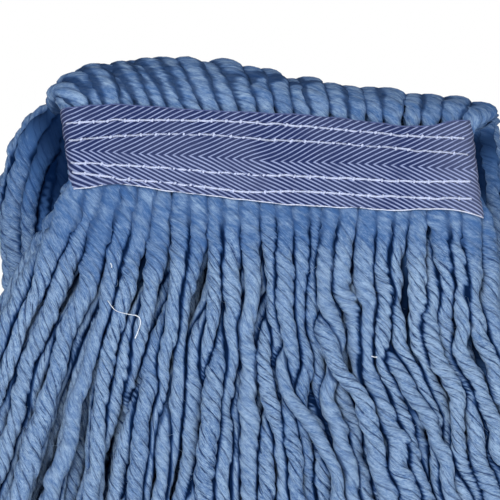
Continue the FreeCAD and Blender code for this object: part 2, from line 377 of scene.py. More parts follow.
def loop_paths(course, lock, rings=150):
    """Loops of one lock as evenly spaced paths (ring, loop, 3): down one leg, round, and up the other."""
    x, y, z, diameter = course
    legs = refine(np.stack([x, y, z], -1))
    paths = []
    thick = []
    for left in np.flatnonzero((LOCK == lock) & (COLUMN % 2 == 0)):
        down = legs[:, left]
        up = legs[::-1, left + 1]
        cut = int(RANDOM.integers(5, 12))
        down, up = down[:-cut], up[cut:]
        gap = up[0] - down[-1]
        turn = np.linspace(0, math.pi, 11)[1:-1, None]
        sag = np.array([0, 0, -1.0]) * (np.linalg.norm(gap) / 2 + 1.0)
        bend = down[-1] + gap * (1 - np.cos(turn)) / 2 + sag * np.sin(turn)
        path = np.concatenate([down, bend, up])
        for _ in range(3):
            path[1:-1] += 0.25 * (path[:-2] + path[2:] - 2 * path[1:-1])
        length = np.concatenate([[0], np.cumsum(np.linalg.norm(np.diff(path, axis=0), axis=1))])
        even = np.linspace(0, length[-1], rings)
        paths.append(np.stack([np.interp(even, length, path[:, i]) for i in range(3)], -1))
        thick.append(np.full(rings, diameter[:, left].mean()))
    return np.stack(paths, 1), np.stack(thick, 1)


# ---- meshes


def mesh_object(name, points, quads, material, caps=(), fields=None):
    """A smooth mesh from arrays, in metres, with point attributes."""
    sizes = np.concatenate([np.full(len(quads), 4), np.array([len(c) for c in caps], int)]).astype(np.int32)
    corners = np.concatenate([quads.ravel()] + [np.asarray(c) for c in caps]).astype(np.int32)
    mesh = bpy.data.meshes.new(name)
    mesh.vertices.add(len(points))
    mesh.vertices.foreach_set("co", (np.asarray(points) * MM).astype(np.float32).ravel())
    mesh.loops.add(len(corners))
    mesh.loops.foreach_set("vertex_index", corners)
    mesh.polygons.add(len(sizes))
    mesh.polygons.foreach_set("loop_start", np.concatenate([[0], np.cumsum(sizes)[:-1]]).astype(np.int32))
    mesh.polygons.foreach_set("loop_total", sizes)
    mesh.polygons.foreach_set("use_smooth", np.ones(len(sizes), bool))
    mesh.update(calc_edges=True)
    for field, values in (fields or {}).items():
        kind = "FLOAT_VECTOR" if np.ndim(values) == 2 else "FLOAT"
        key = "vector" if kind == "FLOAT_VECTOR" else "value"
        mesh.attributes.new(field, kind, "POINT").data.foreach_set(key, np.asarray(values, np.float32).ravel())
    obj = bpy.data.objects.new(name, mesh)
    bpy.context.scene.collection.objects.link(obj)
    mesh.materials.append(material)
    return obj


def grid_quads(rows, columns, closed):
    """Faces of a grid whose points run row by row. A closed grid joins its last column to its first."""
    last = columns if closed else columns - 1
    row, column = np.meshgrid(np.arange(rows - 1), np.arange(last), indexing="ij")
    here = row * columns + column
    beside = row * columns + (column + 1) % columns
    return np.stack([here, beside, beside + columns, here + columns], -1).reshape(-1, 4)


def crowding(points, mine, path, radius):
    """How close points on some of the cords come to the other cords: 0 in the open, 1 where they touch."""
    tangent = np.gradient(path, axis=0)
    tangent /= np.linalg.norm(tangent, axis=2, keepdims=True)
    near = np.zeros(points.shape[:3], np.float32)
    numbers = np.flatnonzero(mine)
    for other in range(path.shape[1]):
        offset = points - path[:, other][:, None, None]
        along = (offset * tangent[:, other][:, None, None]).sum(-1)
        clear = np.sqrt(np.clip((offset**2).sum(-1) - along**2, 0, None)) - radius[:, other][:, None, None]
        clear[:, numbers == other] = CROWD_REACH
        near = np.maximum(near, np.clip(1 - clear / CROWD_REACH, 0, 1))
    return near


def cord(path, diameter, sides, tone, plies=PLIES, pitch=TWIST_PITCH, groove=0.19, across="y", felt=0.0, flat=0.0):
    """Points and fields of twisted cords. path is (ring, cord, 3) and diameter is (ring, cord).

    across is the direction that no cord runs along, from which the rings take their bearings: x for cords that
    turn over the crest, y for cords that hang. Where felt is 1 the plies have fluffed up into one, and flat is how
    far the cords are squashed.
    """
    rings, cords, _ = path.shape
    tangent = np.gradient(path, axis=0)
    tangent /= np.linalg.norm(tangent, axis=2, keepdims=True)
    if across == "x":
        first = np.array([1.0, 0, 0]) - tangent * tangent[..., :1]
        first /= np.linalg.norm(first, axis=2, keepdims=True)
        second = np.cross(tangent, first)
    else:
        second = np.array([0, -1.0, 0]) + tangent * tangent[..., 1:2]
        second /= np.linalg.norm(second, axis=2, keepdims=True)
        first = np.cross(second, tangent)
    length = np.zeros((rings, cords))
    length[1:] = np.cumsum(np.linalg.norm(np.diff(path, axis=0), axis=2), axis=0)
    pitches = pitch * (1 + 0.08 * RANDOM.standard_normal(cords))
    uneven = 0.5 * smooth_noise((rings, cords), (6, 0))
    turn = -2 * math.pi * length / pitches + RANDOM.uniform(0, 2 * math.pi, cords) + uneven

    angle = 2 * math.pi * np.arange(sides) / sides
    lobe = np.sin(math.pi * ((np.arange(sides) * plies / sides) % 1)) ** 0.65
    ply = (np.arange(sides) * plies) // sides
    fullness = 1 + 0.10 * smooth_noise((rings, cords, plies), (2.4, 0, 0))[:, :, ply]
    lumps = 1 + 0.04 * smooth_noise((rings, cords, sides), (1.6, 0, 1.2))
    felt = np.broadcast_to(felt, (rings, cords))[:, :, None]
    flat = np.broadcast_to(flat, (rings, cords))[:, :, None]
    cut = groove * (1 + 0.45 * np.clip(smooth_noise((rings, cords), (4, 0)), -1.6, 1.6))
    depth = cut[:, :, None] * (1 - 0.75 * felt)
    radius = diameter[:, :, None] / 2 * (1 - depth * (1 - lobe)) * fullness * lumps
    theta = angle + turn[:, :, None]
    points = (
        path[:, :, None]
        + ((1 + flat) * radius * np.cos(theta))[..., None] * first[:, :, None]
        + ((1 - flat) * radius * np.sin(theta))[..., None] * second[:, :, None]
    )
    half = YARN / 2
    offset = RANDOM.uniform(0, 900, cords)
    along = np.broadcast_to((length + offset)[:, :, None], radius.shape)
    fibre = np.stack([half * np.cos(angle) + 0 * along, half * np.sin(angle) + 0 * along, along], -1)
    weave = np.stack([np.broadcast_to(v, radius.shape) for v in (lobe, 0.0, felt)], -1).copy()
    fields = {
        "fibre": fibre,
        "weave": weave,
        "tone": np.broadcast_to(np.asarray(tone)[None, :, None], radius.shape),
    }
    return points, fields


def thread_cord(path, thick, pitch):
    """Points and fields of two-ply threads, for stitches and selvedges."""
    return cord(path, np.full(path.shape[:2], thick), 8, np.zeros(path.shape[1]), plies=2, pitch=pitch, groove=0.2)


def cords_object(name, parts, material):
    """One mesh from several (points, fields) groups of cords."""
    points, quads, caps, fields = [], [], [], {}
    base = 0
    for group, values in parts:
        rings, cords, sides, _ = group.shape
        by_cord = group.transpose(1, 0, 2, 3).reshape(-1, 3)
        faces = grid_quads(rings, sides, True)
        starts = base + np.arange(cords) * rings * sides
        quads.append((faces[None] + starts[:, None, None]).reshape(-1, 4))
        ring = np.arange(sides)
        for start in starts:
            caps.append(start + ring[::-1])
            caps.append(start + (rings - 1) * sides + ring)
        points.append(by_cord)
        for field, value in values.items():
            moved = np.moveaxis(np.asarray(value), 0, 1)
            fields.setdefault(field, []).append(moved.reshape((-1, 3) if value.ndim == 4 else -1))
        base += len(by_cord)
    joined = {field: np.concatenate(value) for field, value in fields.items()}
    return mesh_object(name, np.concatenate(points), np.concatenate(quads), material, caps, joined)


# ---- materials

RIB_RUN = 3.2  # a rib meets the chevron's point every so many millimetres along the tape
RIB_RISE_UPPER = 1.72  # spacing of the ribs up the tape, over and under the chevrons' points
RIB_RISE_LOWER = 1.42
RIB_SOFTNESS = 0.18  # how softly a rib's colour gives way to the ground
WEAVE_PITCH = 0.7  # spacing of the threads in plain woven tape

YARN_DARK = (0.043, 0.106, 0.262)
YARN_PALE = (0.288, 0.405, 0.566)
# YARN_SHADE and the two colours after it are painted shade: mid blue where strands crowd, and near black in ply cracks,
# in gaps between strands, and where strands lie deep in a parting or hollow.
YARN_SHADE = (0.024, 0.066, 0.185)
YARN_CRACK_SHADOW = (0.003, 0.018, 0.085)
YARN_GAP_SHADOW = (0.001, 0.008, 0.036)


class Graph:
    """Short ways to wire a material's nodes."""

    def __init__(self, name):
        self.material = bpy.data.materials.new(name)
        self.material.use_nodes = True
        self.tree = self.material.node_tree
        self.tree.nodes.clear()
        self.shader = self.tree.nodes.new("ShaderNodeBsdfPrincipled")
        output = self.tree.nodes.new("ShaderNodeOutputMaterial")
        self.tree.links.new(self.shader.outputs[0], output.inputs[0])

    def feed(self, socket, value):
        if isinstance(value, bpy.types.NodeSocket):
            self.tree.links.new(value, socket)
        elif isinstance(value, tuple) and socket.type == "RGBA":
            socket.default_value = (*value, 1.0)
        else:
            socket.default_value = value

    def node(self, kind, output=0, settings=None, **inputs):
        node = self.tree.nodes.new(kind)
        for key, value in (settings or {}).items():
            setattr(node, key, value)
        for key, value in inputs.items():
            numbered = key[0] == "i" and key[1:].isdigit()
            self.feed(node.inputs[int(key[1:]) if numbered else key.replace("_", " ")], value)
        return node.outputs[output]

    def attribute(self, name, output):
        return self.node("ShaderNodeAttribute", output, {"attribute_name": name})

    def math(self, operation, a, b=0.0, c=0.0):
        return self.node("ShaderNodeMath", 0, {"operation": operation}, i0=a, i1=b, i2=c)

    def times(self, a, b):
        return self.math("MULTIPLY", a, b)

    def minus(self, a, b):
        return self.math("SUBTRACT", a, b)

    def sum(self, a, b, c):
        """a times b, plus c."""
        return self.math("MULTIPLY_ADD", a, b, c)

    def split(self, vector):
        return self.node("ShaderNodeSeparateXYZ", i0=vector).node.outputs

    def noise(self, vector, stretch, detail, roughness, scale=1.0):
        """Noise in a field that is stretched along each axis."""
        vector = self.node("ShaderNodeVectorMath", 0, {"operation": "MULTIPLY"}, i0=vector, i1=stretch)
        return self.node("ShaderNodeTexNoise", 0, Vector=vector, Scale=scale, Detail=detail, Roughness=roughness)

    def ramp(self, value, low, high, start=0.0, end=1.0):
        settings = {"interpolation_type": "SMOOTHSTEP"}
        return self.node("ShaderNodeMapRange", 0, settings, i0=value, i1=low, i2=high, i3=start, i4=end)

    def mix(self, share, a, b):
        return self.node("ShaderNodeMix", 2, {"data_type": "RGBA"}, i0=share, i6=a, i7=b)

    def bump(self, height, distance, strength):
        return self.node("ShaderNodeBump", 0, Height=height, Distance=distance, Strength=strength)

    def finish(self, **inputs):
        for key, value in inputs.items():
            self.feed(self.shader.inputs[key.replace("_", " ")], value)
        return self.material


def yarn_material():
    """Soft blue yarn: fibres run along each ply, and painted shade darkens the cracks between the plies and between
    strands.

    The weave field holds the height of a ply, the nearness of the next strand (painted as contact shade), and how
    felted the yarn is.
    """
    g = Graph("blue_yarn")
    fibre = g.attribute("fibre", 1)
    weave = g.attribute("weave", 1)
    ply, crowd, felt = g.split(weave)
    tone = g.attribute("tone", 2)
    streak = g.noise(fibre, (1.6, 1.6, 0.4), 4.0, 0.65)
    hair = g.noise(fibre, (4.5, 4.5, 1.1), 3.0, 0.7)
    patch = g.noise(fibre, (0.35, 0.35, 0.06), 2.0, 0.5)
    fluff = g.noise(fibre, (0.9, 0.9, 0.9), 5.0, 0.75)
    blotch = g.noise(fibre, (0.35, 0.35, 0.3), 3.0, 0.6)
    crack_noise = g.noise(fibre, (0.7, 0.7, 0.3), 3.0, 0.6)
    # Painted shade in the cracks between the plies, broken here and there, with short nicks besides; felted yarn shows
    # less of it.
    width = g.ramp(crack_noise, 0.34, 0.62, 0.10, 0.72)
    crack = g.minus(1.0, g.ramp(ply, 0.0, width))
    broken = g.ramp(g.noise(fibre, (0.45, 0.45, 0.2), 2.0, 0.6), 0.40, 0.56, 0.2, 1.0)
    crack = g.times(crack, broken)
    nick = g.ramp(g.noise(fibre, (2.2, 2.2, 0.25), 2.0, 0.5), 0.33, 0.42, 0.7, 0.0)
    crack = g.times(g.math("MAXIMUM", crack, nick), g.sum(felt, -0.72, 1.0))
    light = g.sum(streak, 0.7, g.sum(hair, 1.3, g.times(patch, 0.4)))
    # The tone field holds each strand's own lightness and the painted shade added in skirt_yarn.
    light = g.sum(fluff, 0.85, g.math("ADD", g.math("ADD", light, tone), -0.55))
    middle = g.sum(felt, -0.5, 1.0)
    light = g.sum(g.minus(light, 1.08), middle, 1.08)
    light = g.sum(g.minus(blotch, 0.5), felt, light)
    body = g.mix(g.ramp(light, 0.66, 1.48), YARN_DARK, YARN_PALE)
    shade = g.mix(g.times(crack, 0.97), body, YARN_CRACK_SHADOW)
    # Painted contact shade where strands crowd each other: a mid blue first, then near black in the gaps; felted yarn
    # shows less of it.
    close = g.sum(patch, 0.5, g.minus(crowd, 0.25))
    close = g.sum(felt, 0.12, close)
    fused = g.ramp(felt, 0.6, 1.0, 1.0, 0.5)
    shade = g.mix(g.times(g.ramp(close, 0.02, 0.62, 0.0, 0.92), fused), shade, YARN_SHADE)
    shade = g.mix(g.times(g.ramp(close, 0.32, 0.86), g.ramp(felt, 0.6, 1.0, 0.97, 0.1)), shade, YARN_GAP_SHADOW)
    # Painted shadow: a tone lowered far enough turns the yarn almost black.
    shade = g.mix(g.ramp(tone, -0.35, -1.3, 0.0, 0.9), shade, YARN_GAP_SHADOW)
    height = g.sum(streak, 0.55, g.sum(hair, 0.5, g.times(crack, -0.9)))
    normal = g.bump(g.sum(fluff, 0.4, height), 0.00035, 0.8)
    return g.finish(Base_Color=shade, Roughness=0.95, Specular_IOR_Level=0.02, Normal=normal)


def twill_material(name, dark, pale, duty_upper, duty_lower):
    """Herringbone twill: pale ribs on a dark ground, in the measure of the cloth field."""
    g = Graph(name)
    cloth = g.attribute("cloth", 1)
    x, z, ground_paling = g.split(cloth)
    grain = g.noise(cloth, (1.0, 1.0, 0.0), 3.0, 0.7, 2.6)
    speck = g.noise(cloth, (1.0, 1.0, 0.0), 2.0, 0.6, 5.5)
    blotch = g.noise(cloth, (0.10, 0.16, 0.0), 2.0, 0.5)
    upper = g.math("GREATER_THAN", z, 0.0)
    rise = g.sum(upper, RIB_RISE_UPPER - RIB_RISE_LOWER, RIB_RISE_LOWER)
    phase = g.minus(g.math("DIVIDE", x, RIB_RUN), g.math("DIVIDE", g.math("ABSOLUTE", z), rise))
    phase = g.sum(grain, 0.16, phase)
    wave = g.times(g.math("ABSOLUTE", g.minus(g.math("FRACT", phase), 0.5)), 2.0)
    duty = g.sum(upper, duty_upper - duty_lower, duty_lower)
    edge = g.minus(1.0, duty)
    rib = g.ramp(wave, g.minus(edge, RIB_SOFTNESS), g.math("ADD", edge, RIB_SOFTNESS))
    rib = g.times(rib, g.ramp(blotch, 0.25, 0.6, 0.62, 1.0))
    ground = g.mix(g.ramp(speck, 0.42, 0.72), dark, tuple(1.6 * c for c in dark))
    # Paler ground where the third value of the cloth field is high.
    ground = g.mix(g.times(ground_paling, 0.4), ground, tuple(0.4 * c for c in pale))
    colour = g.mix(rib, ground, pale)
    colour = g.mix(g.ramp(grain, 0.40, 0.75, 0.0, 0.2), colour, tuple(0.3 * c for c in pale))
    height = g.sum(rib, 0.5, g.times(speck, 0.6))
    normal = g.bump(height, 0.00022, 0.8)
    return g.finish(Base_Color=colour, Roughness=0.9, Specular_IOR_Level=0.08, Sheen_Weight=0.03,
                    Sheen_Roughness=0.5, Normal=normal)


def plain_weave_material(name, dark, pale):
    """Plain woven tape: warp and weft threads pass over each other in turn."""
    g = Graph(name)
    cloth = g.attribute("cloth", 1)
    x, z, _ = g.split(cloth)
    warp = g.math("SINE", g.times(x, math.pi / WEAVE_PITCH))
    weft = g.math("SINE", g.times(z, math.pi / WEAVE_PITCH))
    grain = g.noise(cloth, (1.0, 1.0, 0.0), 3.0, 0.6, 2.2)
    over = g.sum(g.times(warp, weft), 0.5, grain)
    colour = g.mix(g.ramp(over, 0.1, 0.95), dark, pale)
    return g.finish(Base_Color=colour, Roughness=0.9, Specular_IOR_Level=0.08, Normal=g.bump(over, 0.0003, 0.9))


def thread_material(name, colour):
    """Twisted sewing thread."""
    g = Graph(name)
    fibre = g.attribute("fibre", 1)
    streak = g.noise(fibre, (1.2, 1.2, 0.9), 2.0, 0.6)
    shade = g.mix(g.ramp(streak, 0.3, 0.7), tuple(0.72 * c for c in colour), colour)
    return g.finish(Base_Color=shade, Roughness=0.7, Specular_IOR_Level=0.3, Sheen_Weight=0.2,
                    Normal=g.bump(streak, 0.00008, 0.6))


# ---- tapes and stitching


class Tape:
    """A strip of tape whose ends turn back round the sides of the yarn.

    along is the distance along the strip from its middle, and up is the height from the middle of the strip.
    A tape that faces backwards is mirrored about the fold.
    """

    def __init__(self, length, middle, top, bottom, turn_back, corner, face_y, lean=0.0, backwards=False):
        self.middle, self.top, self.bottom = middle, top, bottom
        self.half, self.corner, self.turn_back = length / 2, corner, turn_back
        self.face_y, self.lean, self.backwards = face_y, lean, backwards
        self.flat = self.half - corner
        self.reach = self.flat + (math.pi / 2 - 1) * corner + turn_back if turn_back else self.half

    def edges(self, along):
        """Heights of the lower and upper edges."""
        return through(along, self.bottom), through(along, self.top)

    def place(self, along, up, lift=0.0):
        """The point on the tape, lifted off its face."""
        sign = np.sign(along)
        past = np.clip(np.abs(along) - self.flat, 0, None)
        if self.turn_back:
            bend = np.clip(past / self.corner, 0, math.pi / 2)
            side = np.clip(past - self.corner * math.pi / 2, 0, None)
            x = np.clip(np.abs(along), 0, self.flat) + self.corner * np.sin(bend)
            y = self.corner * (1 - np.cos(bend)) + side
            x = sign * (x + lift * np.sin(bend))
            y = y - lift * np.cos(bend)
        else:
            x, y = along * np.ones_like(up), -lift * np.ones_like(along + up)
        x = x - up * self.lean
        y = self.face_y + y
        if self.backwards:
            y = 2 * FOLD_Y - y
        return np.stack(np.broadcast_arrays(x, y, self.middle + up), -1)


def rib_wave(x, z):
    """Height of the twill's ribs, 0 to 1, as the material draws them."""
    rise = np.where(z > 0, RIB_RISE_UPPER, RIB_RISE_LOWER)
    phase = x / RIB_RUN - np.abs(z) / rise
    return np.abs((phase % 1) - 0.5) * 2


def tape_object(name, tape, thickness, cell, rows, rib, puff, material, ground_paling=None):
    """A tape with raised ribs. It bellies out a little between its stitch rows, which pull it in."""
    columns = int(2 * tape.reach / cell) + 1
    face = int((tape.top[0][1] - tape.bottom[0][1]) / cell) + 1
    inner = 8
    along = np.linspace(-tape.reach, tape.reach, columns)[:, None]
    low, high = tape.edges(along[:, 0])
    share = np.linspace(0, 1, face)[None]
    up = low[:, None] + share * (high - low)[:, None]
    span = int(5 / cell)
    crease = smooth_noise((columns, face), (span, span))
    fine = smooth_noise((columns, face), (1.2 / cell, 1.2 / cell))
    pull = np.zeros_like(up)
    for row in rows:
        gap = up - through(along[:, 0], row)[:, None]
        pull += np.exp(-((gap / 0.9) ** 2))
    edge = np.minimum(share, 1 - share) * (high - low)[:, None]
    rounding = 0.35 * np.exp(-edge / 0.35)
    lying = np.clip(-61 - along, 0, None) * ease((-up - 1) / 13)
    field_x = along - up * tape.lean + 0.45 * crease + 0.6 * lying
    field_z = up + 0.25 * smooth_noise((columns, face), (3 * span, 2 * span))
    wave = rib_wave(field_x, field_z)
    lift = puff * (0.75 + 0.35 * crease) + 0.05 * fine - 0.38 * pull - rounding + rib * ease(wave * 1.4 - 0.2)
    outside = tape.place(along, up, lift)
    back = high[:, None] + np.linspace(0, 1, inner)[None] * (low - high)[:, None]
    inside = tape.place(along, back, -thickness)
    points = np.concatenate([outside, inside], 1)
    quads = grid_quads(columns, face + inner, True)
    ring = np.arange(face + inner)
    caps = [ring[::-1], (columns - 1) * (face + inner) + ring]
    if tape.backwards:
        quads = quads[:, ::-1]
        caps = [c[::-1] for c in caps]
    # The ground is paler where the passed function says, which for the front tape is towards its right end, and where
    # the random crease puffs the tape out.
    paling = np.zeros_like(up) if ground_paling is None else ground_paling(along, up) * np.ones_like(up)
    paling = paling + 0.35 * np.clip(0.6 * crease, 0, 1)
    cloth = np.stack([field_x, field_z, paling], -1)
    behind = np.stack([along + 0 * back, back, 0 * back], -1)
    cloth = np.concatenate([cloth, behind], 1)
    return mesh_object(name, points.reshape(-1, 3), quads, material, caps, {"cloth": cloth.reshape(-1, 3)})


def stitched(name, tape, rows, stitch, thread, material, sunk, reach=None):
    """Rows of lockstitch: the thread rises over the tape and dives at each hole, where a short loop crosses it."""
    reach = reach or tape.flat + tape.corner * 0.8
    groups = []
    for row in rows:
        holes = np.arange(-reach, reach + stitch / 2, stitch) + 0.25 * RANDOM.standard_normal()
        holes = holes + 0.3 * RANDOM.standard_normal(len(holes))
        count = 9
        fraction = np.linspace(0, 1, count)[:-1]
        along = (holes[:-1, None] + np.diff(holes)[:, None] * fraction).ravel()
        beat = np.tile(fraction, len(holes) - 1)
        drift = 0.12 * np.repeat(RANDOM.standard_normal(len(holes) - 1), count - 1)
        height = through(along, row) + 0.16 * np.sin(math.pi * beat) * np.repeat(
            RANDOM.standard_normal(len(holes) - 1), count - 1) + drift * np.sin(math.pi * beat)
        lift = -sunk + (sunk + 0.28) * np.sin(math.pi * beat) ** 0.5
        path = refine(tape.place(along, height, lift))[:, None]
        groups.append(thread_cord(path, thread, 1.6))
        knots = holes[1:-1]
        tilt = RANDOM.uniform(-0.6, 0.6, len(knots)) + 0.9
        t = np.linspace(-1, 1, 7)[:, None]
        size = RANDOM.uniform(0.45, 0.8, len(knots))
        x = knots + size * 0.8 * t * np.cos(tilt)
        up = through(knots, row) + size * 0.8 * t * np.sin(tilt)
        path = tape.place(x, up, 0.30 - 0.55 * t**2)
        groups.append(thread_cord(path, thread * 1.15, 1.4))
    return cords_object(name, groups, material)


def setting():
    """White world, pale floor, soft studio light and the camera."""
    scene = bpy.context.scene
    scene.view_settings.view_transform = "Standard"
    world = bpy.data.worlds.new("studio")
    world.use_nodes = True
    scene.world = world
    tree = world.node_tree
    back = tree.nodes["Background"]
    path = tree.nodes.new("ShaderNodeLightPath")
    strength = tree.nodes.new("ShaderNodeMapRange")
    strength.inputs[3].default_value = 0.32
    strength.inputs[4].default_value = 1.0
    tree.links.new(path.outputs["Is Camera Ray"], strength.inputs[0])
    tree.links.new(strength.outputs[0], back.inputs["Strength"])
    back.inputs["Color"].default_value = (1.0, 1.0, 1.0, 1.0)

    low, _ = CAD_BOX
    wide = 4000.0
    height = low[2] / MM - 25
    corners = [[-wide, -wide, height], [wide, -wide, height], [wide, wide, height], [-wide, wide, height]]
    g = Graph("pale_floor")
    distance = g.node("ShaderNodeVectorMath", 1, {"operation": "LENGTH"}, i0=g.node("ShaderNodeNewGeometry", 0))
    look = g.finish(Base_Color=(0.86, 0.86, 0.85), Roughness=0.9, Emission_Color=(1.0, 1.0, 1.0),
                    Emission_Strength=g.ramp(distance, 0.5, 2.5, 0.0, 0.8))
    mesh_object("floor", np.array(corners), np.array([[0, 1, 2, 3]]), look)

    lights = [
        ("key", (-0.25, -0.98, 0.10), 0.6, 9.0),
        ("fill", (0.7, -0.9, 0.1), 0.8, 4.0),
        ("rear", (0.2, 0.9, 0.6), 0.9, 4.0),
    ]
    aim = Vector((0, 0.02, -0.06))
    for name, place, size, power in lights:
        data = bpy.data.lights.new(name, "AREA")
        data.shape = "DISK"
        data.size = size
        data.energy = power
        light = bpy.data.objects.new(name, data)
        light.location = place
        light.rotation_mode = "QUATERNION"
        light.rotation_quaternion = (aim - Vector(place)).to_track_quat("-Z", "Y")
        scene.collection.objects.link(light)

    sensor = 36
    roll = math.radians(2.85)
    right = Vector((math.cos(roll), 0, math.sin(roll)))
    up = Vector((-math.sin(roll), 0, math.cos(roll)))
    back_axis = Vector((0, -1, 0))
    distance = 0.85
    shown = 0.1845  # width of the picture at the headband's face
    data = bpy.data.cameras.new("camera")
    data.sensor_width = sensor
    data.lens = sensor * distance / shown
    camera = bpy.data.objects.new("camera", data)
    centre = right * -0.0080 + up * -0.0334  # the middle of the picture, from the middle of the band
    turn = Matrix((right, up, back_axis)).transposed().to_4x4()
    camera.matrix_world = Matrix.Translation(centre + back_axis * distance) @ turn
    scene.collection.objects.link(camera)
    scene.camera = camera


# ---- the mop


def attach(obj, slot, body, *nodes):
    """The piece rides on a body, and stands for these CAD nodes."""
    if nodes:
        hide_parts(*nodes)
    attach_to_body(obj, body)


TONE = TONE_SPREAD * RANDOM.standard_normal(STRANDS)
YARN_LOOK = yarn_material()


def skirt_yarn(course, nodes, name, across, felt, sides, shade=0.0, flat=0.0,
               swing=None, painted_shadow=0.0):
    """Three layers of strands that run between two bodies. The last argument is a painted shadow: how far strands that
    lie deep in a hollow or a parting are darkened, almost to black.
    """
    x, y, z, diameter = course
    path = refine(np.stack([x, y, z], -1))
    thick = refine(diameter)
    felt = refine(felt * np.ones_like(x))
    flat = refine(flat * np.ones_like(x))
    for layer, label in enumerate(LAYER_NAMES):
        mine = LAYER == layer
        points, fields = cord(path[:, mine], thick[:, mine], sides[layer], TONE[mine], across=across,
                              felt=felt[:, mine], flat=flat[:, mine])
        # Nearness to other strands, which the yarn material paints as contact shade.
        fields["weave"][..., 1] = crowding(points, mine, path, thick / 2)
        # Painted shade: the shade argument lowers the tone, and the painted shadow lowers it so far that the yarn turns
        # almost black.
        fields["tone"] = fields["tone"] + refine((shade - 1.3 * painted_shadow) * np.ones_like(x))[:, mine, None]
        obj = cords_object(f"{name}_{label}", [(points, fields)], YARN_LOOK)
        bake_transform(obj)
        if swing is not None:
            weight = refine(swing)[:, mine]
            weight = np.broadcast_to(weight[:, :, None], points.shape[:3]).transpose(1, 0, 2)
        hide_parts(*[node.format(label) for node in nodes])


*front, front_painted_shadow = front_course()
freed = (-HALF_BAND - front[2]) * (1 + 0.7 * ease((front[0] + 45) / 60)) + 5 * np.sin(2.4 * COLUMN + LAYER)
front_felt = 1 - ease((freed - 6) / 30)
# Painted shade under the band: the front strands are darker just below it, less so further down.
front_shade = -0.36 * (1 - ease((freed - 8) / 30))
front_felt = np.maximum(front_felt, np.clip(0.25 + 0.3 * smooth_noise(front[0].shape, (9, 0)), 0, 0.8))
front_flat = 0.30 * (1 - ease((freed - 5) / 28))
skirt_yarn(front, ["front_yarn_{}"], "front_strands", "y",
           front_felt, (24, 20, 12), front_shade, front_flat, painted_shadow=front_painted_shadow)
*back, back_flat, back_swing = back_course()
turned = ease((HALF_BAND + 6 - back[2]) / 70)
# Painted shadow: the middle and inner strands are darkened in the dark hollows by the band's two ends.
hollow = ease((back[1] - FOLD_Y + 4) / 8) * ease((17 - back[2]) / 6) * ease((back[2] + 46) / 40)
hollow = hollow * (LAYER > 0) * (np.exp(-(((back[0] + 78) / 11) ** 2)) + np.exp(-(((back[0] - 76) / 5) ** 2)))
# Painted shade: the crest is darker than the strands that hang behind, the far left strands a little darker again, and
# the crest darker still towards the right.
back_shade = (-0.13 * (1 - turned) - 0.06 * ease((-75 - back[0]) / 10)
              - 0.17 * (1 - turned) * ease((back[0] - 10) / 50))
skirt_yarn(back, ["crest_yarn_{}", "back_yarn_{}"], "crest_and_back_strands", "x",
           0.8 - 0.6 * turned, (16, 12, 8), back_shade, back_flat, back_swing, hollow)

# Heights of the four stitch rows and of the band's edges along it, from its middle.
BAND_ROWS = [
    [(-82, 8.6), (-74, 9.6), (-56, 11.4), (-36, 12.6), (-6, 13.4), (12, 12.8), (34, 12), (55, 11.2), (70, 11.3),
     (82, 11)],
    [(-82, 2.6), (-72, 3.7), (-48, 6.6), (-20, 8.0), (-4, 7.3), (25, 7.2), (46, 6.4), (67, 5.7), (82, 5)],
    [(-82, -4.6), (-68, -4.7), (-48, -4.8), (-19, -5.9), (16, -5.7), (40, -5.6), (55, -5.5), (76, -4.2), (82, -4)],
    [(-82, -7.5), (-72, -8.4), (-52, -10.1), (-35, -10.6), (-12, -12.4), (11, -11.2), (33, -11.5), (52, -11.4),
     (82, -10.4)],
]
BAND_TOP = [(-92, 14.0), (-79, 14.4), (-66, 16.4), (-54, 17.3), (-30, 16.9), (-6, 16.9), (17, 16.8), (39, 15.5),
            (52, 14.6), (61, 15.6), (70, 17.5), (76, 17.9), (92, 17)]
BAND_BOTTOM = [(-92, -15.0), (-75, -14.5), (-58, -11.9), (-38, -13.5), (-18, -14.8), (-4, -15.9), (12, -16.3),
               (28, -16.2), (46, -16.3), (54, -15.4), (67, -15.4), (76, -17.2), (92, -17.6)]


def make_headband():
    look = twill_material("headband_twill", (0.009, 0.017, 0.070), (0.25, 0.30, 0.50), 0.26, 0.38)
    thread = thread_material("stitching_thread", (0.50, 0.56, 0.78))
    front_tape = Tape(BAND_LENGTH, 0, BAND_TOP, BAND_BOTTOM, BAND_HIGH[1], 4.5, 0, LEAN)
    tape = tape_object("headband_front_tape", front_tape, 0.9, 0.3, BAND_ROWS, 0.14, 0.45, look,
                       lambda along, up: ease((along - 48) / 26))
    attach(tape, "band_tape", "headband", "headband_front_tape")
    edge = [(-90, 15.6), (90, 15.6)], [(-90, -15.6), (90, -15.6)]
    back_tape = Tape(BAND_LENGTH, 0, *edge, 0, 0, 2 * FOLD_Y - BACK_TAPE_HIGH[1], LEAN, backwards=True)
    tape = tape_object("headband_back_tape", back_tape, 0.9, 0.6, BAND_ROWS, 0.10, 0.2, look)
    attach(tape, "band_tape", "headband", "headband_back_tape")
    for number, row in enumerate(BAND_ROWS, start=1):
        stitches = stitched(f"stitch_row_{number}", front_tape, [row], 5.5, 0.86, thread, 0.45)
        attach(stitches, "stitching", "headband", f"stitch_row_{number}")
    count = 420
    along = np.linspace(-front_tape.reach, front_tape.reach, count)
    low, high = front_tape.edges(along)
    # The upper rim's near-black thread is a painted shadow along the band's top edge; the lower rim is the tape's pale
    # selvedge.
    for label, height, colour in (("lower", low, (0.60, 0.65, 0.82)), ("upper", high, (0.06, 0.09, 0.24))):
        wobble = 0.10 * smooth_noise((count,), (4,))
        path = front_tape.place(along, height + wobble, 0.12)[:, None]
        cloth = thread_material(f"selvedge_thread_{label}", colour)
        rim = cords_object(f"selvedge_{label}", [thread_cord(path, 0.5, 2.4)], cloth)
        attach(rim, "band_tape", "headband")


